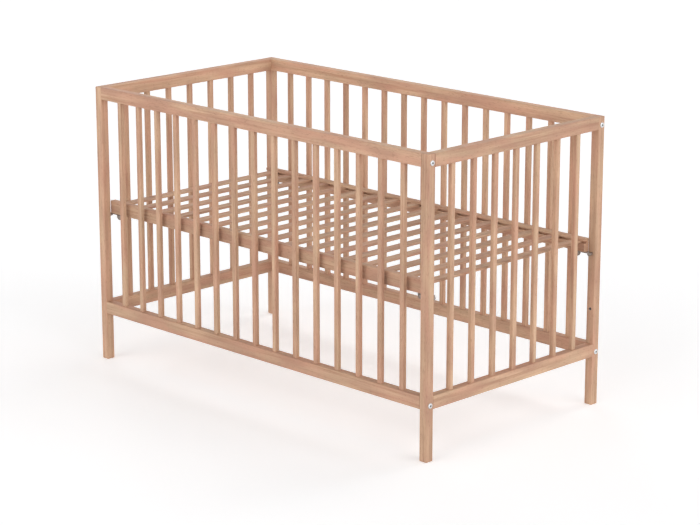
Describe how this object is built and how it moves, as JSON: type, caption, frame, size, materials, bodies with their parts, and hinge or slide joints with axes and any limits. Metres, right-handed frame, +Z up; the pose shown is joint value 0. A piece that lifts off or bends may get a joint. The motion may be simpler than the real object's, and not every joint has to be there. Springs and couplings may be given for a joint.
{
  "type": "baby crib",
  "caption": "Wooden baby crib with square posts, slatted panels on all sides and a slatted base on steel pins.",
  "frame": {"origin": "on the floor under the middle of the crib", "axes": "+X along the crib towards its right end, +Y from the front side to the back side, +Z up"},
  "size_m": [1.2556, 0.664, 0.777],
  "materials": {
    "beech": "clear matt lacquer",
    "base_beech": "clear matt lacquer",
    "tongue_steel": "zinc plated",
    "zinc_steel": "zinc plated"
  },
  "bodies": {
    "frame": {"post_front_left": "beech", "post_front_right": "beech", "post_back_left": "beech", "post_back_right": "beech", "front_top_rail": "beech", "front_bottom_rail": "beech", "back_top_rail": "beech", "back_bottom_rail": "beech", "left_top_rail": "beech", "left_bottom_rail": "beech", "right_top_rail": "beech", "right_bottom_rail": "beech", "front_slats": "beech", "back_slats": "beech", "left_slat_1": "beech", "left_slat_2": "beech", "left_slat_3": "beech", "left_slat_4": "beech", "left_slat_5": "beech", "left_slat_6": "beech", "left_slat_7": "beech", "right_slat_1": "beech", "right_slat_2": "beech", "right_slat_3": "beech", "right_slat_4": "beech", "right_slat_5": "beech", "right_slat_6": "beech", "right_slat_7": "beech", "rail_dowels": "beech", "corner_bolts": "zinc_steel", "corner_barrel_nuts": "zinc_steel", "pin_inserts": "zinc_steel", "support_pins": "zinc_steel"},
    "base": {"base_rail_front": "base_beech", "base_rail_back": "base_beech", "base_slat_01": "base_beech", "base_slat_02": "base_beech", "base_slat_03": "base_beech", "base_slat_04": "base_beech", "base_slat_05": "base_beech", "base_slat_06": "base_beech", "base_slat_07": "base_beech", "base_slat_08": "base_beech", "base_slat_09": "base_beech", "base_slat_10": "base_beech", "base_slat_11": "base_beech", "base_slat_12": "base_beech", "base_slat_13": "base_beech", "base_slat_14": "base_beech", "base_slat_15": "base_beech", "base_slat_16": "base_beech", "base_slat_17": "base_beech", "base_tongue_front_left": "tongue_steel", "base_tongue_front_right": "tongue_steel", "base_tongue_back_left": "tongue_steel", "base_tongue_back_right": "tongue_steel", "base_bolts": "zinc_steel", "base_washers": "zinc_steel", "base_barrel_nuts": "zinc_steel"}
  },
  "joints": [
    {"name": "base_lift", "type": "slide", "parent": "frame", "child": "base", "axis": [0, 0, 1], "range_m": [0, 0.28]}
  ]
}
